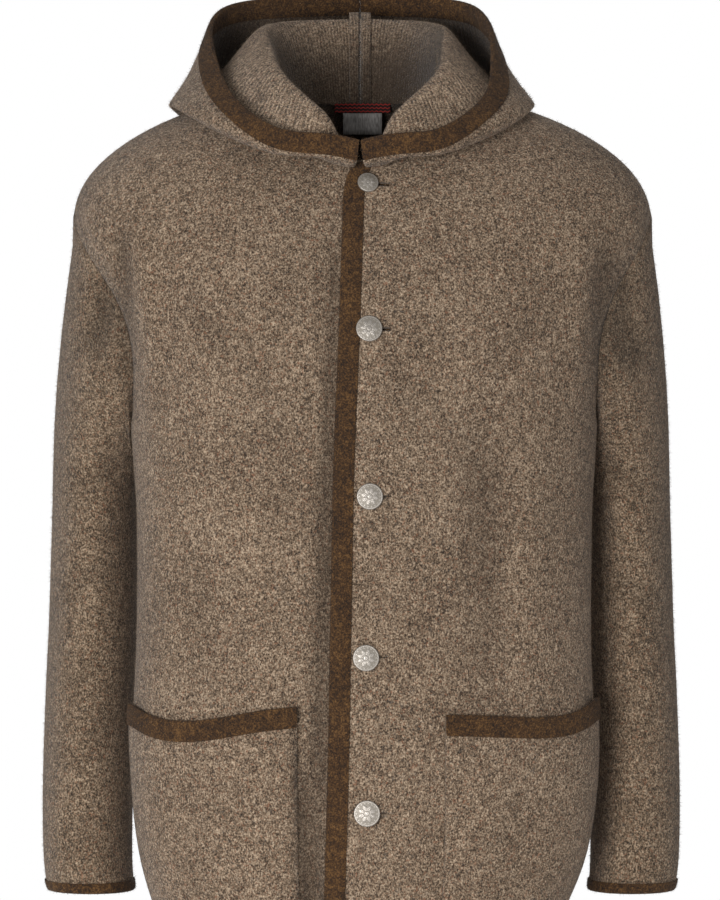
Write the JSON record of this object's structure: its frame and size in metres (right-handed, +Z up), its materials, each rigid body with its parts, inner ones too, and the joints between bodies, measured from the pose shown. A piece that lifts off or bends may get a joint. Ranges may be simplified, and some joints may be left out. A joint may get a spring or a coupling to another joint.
{
  "type": "tyrolean loden jacket",
  "caption": "Hooded boiled-wool jacket, buttoned, worn hollow form, with braided edges, hood laid open and two patch pockets.",
  "frame": {"origin": "on the centre plane between the shoulders of the wearer who carries it, level with the neck's base", "axes": "+X to the wearer's left, -Y to the front, +Z up"},
  "size_m": [0.608, 0.3601, 0.9027],
  "materials": {
    "wool": "matte heathered boiled wool with a short nap",
    "braid": "matte brown wool braid",
    "metal": "stamped antique silver",
    "label": "matte woven label, bare",
    "loop": "satin woven tape"
  },
  "bodies": {
    "root": {"back": "wool", "button_1": "metal", "button_2": "metal", "button_3": "metal", "button_4": "metal", "button_5": "metal", "cuff_binding_left": "braid", "cuff_binding_right": "braid", "front_binding_left": "braid", "front_binding_right": "braid", "front_left": "wool", "front_right": "wool", "hanger_loop": "loop", "hem_binding_back": "braid", "hem_binding_left": "braid", "hem_binding_right": "braid", "hood_binding_left": "braid", "hood_binding_right": "braid", "hood_left": "wool", "hood_right": "wool", "hood_seam_left": "wool", "hood_seam_right": "wool", "neck_label": "label", "pocket_binding_left": "braid", "pocket_binding_right": "braid", "pocket_left": "wool", "pocket_right": "wool", "sleeve_left": "wool", "sleeve_right": "wool"}
  },
  "joints": []
}
